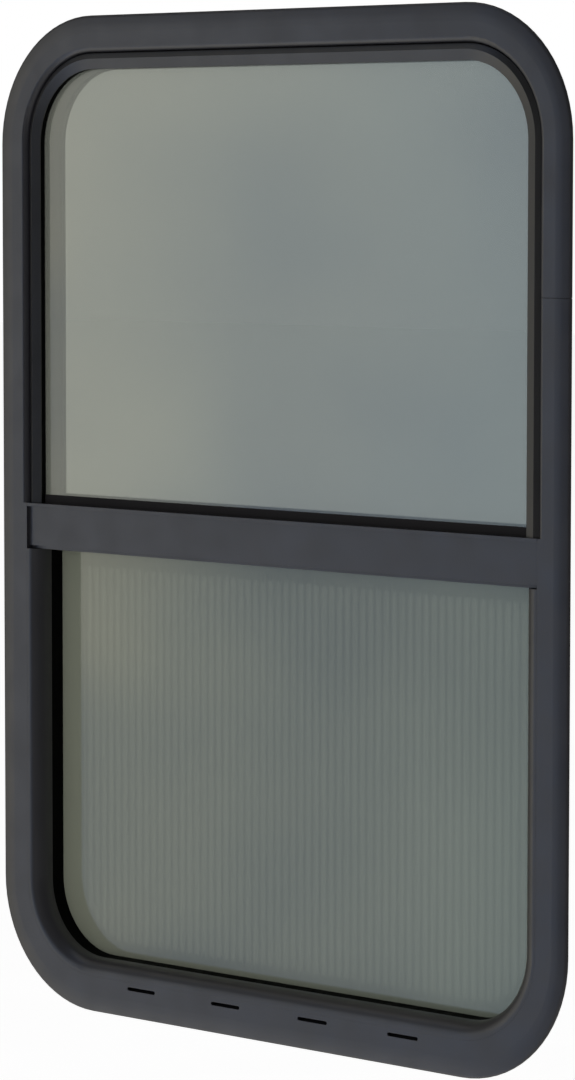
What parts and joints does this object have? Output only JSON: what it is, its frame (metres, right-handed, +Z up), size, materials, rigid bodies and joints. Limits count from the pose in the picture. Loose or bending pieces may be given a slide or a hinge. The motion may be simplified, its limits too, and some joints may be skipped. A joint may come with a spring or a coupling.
{
  "type": "vertical sliding caravan window",
  "caption": "Round-cornered caravan window in a bent aluminium frame, with a fixed upper pane, a sliding lower pane behind it and an insect screen.",
  "frame": {"origin": "middle of the bottom run of the wall seal's back face, which lies on the caravan's outer skin", "axes": "+X to the right seen from outside, +Y into the vehicle through the wall, +Z up"},
  "size_m": [0.562, 0.0449, 0.76],
  "materials": {
    "frame_aluminium": "anthracite satin coat on extruded aluminium",
    "mill_aluminium": "mill finish",
    "bead": "black satin coat",
    "trim": "anthracite satin coat",
    "rubber": "matt black rubber",
    "brush": "dense black pile",
    "plastic": "fine grained",
    "tinted_glass": "polished grey green tempered glass",
    "screen_frame": "grey satin coat",
    "screen_mesh": "woven aluminium wire, grey coat"
  },
  "bodies": {
    "root": {"outer_frame": "frame_aluminium", "frame_joint_key": "mill_aluminium", "wall_seal": "rubber", "glazing_tape": "rubber", "upper_glass": "tinted_glass", "upper_bead": "bead", "sill_gasket": "rubber", "transom_bar": "frame_aluminium", "transom_cover": "frame_aluminium", "meeting_seal": "brush", "lower_trim": "trim", "sash_wiper": "rubber", "sash_glass": "tinted_glass", "sash_top_rail": "frame_aluminium", "sash_run_left": "rubber", "sash_run_right": "rubber", "sash_bottom_seal": "rubber", "sash_latch_left": "plastic", "sash_latch_right": "plastic", "screen_frame": "screen_frame", "screen_mesh": "screen_mesh", "screen_spline": "rubber", "screen_clips": "plastic", "screen_pull": "plastic"}
  },
  "joints": []
}
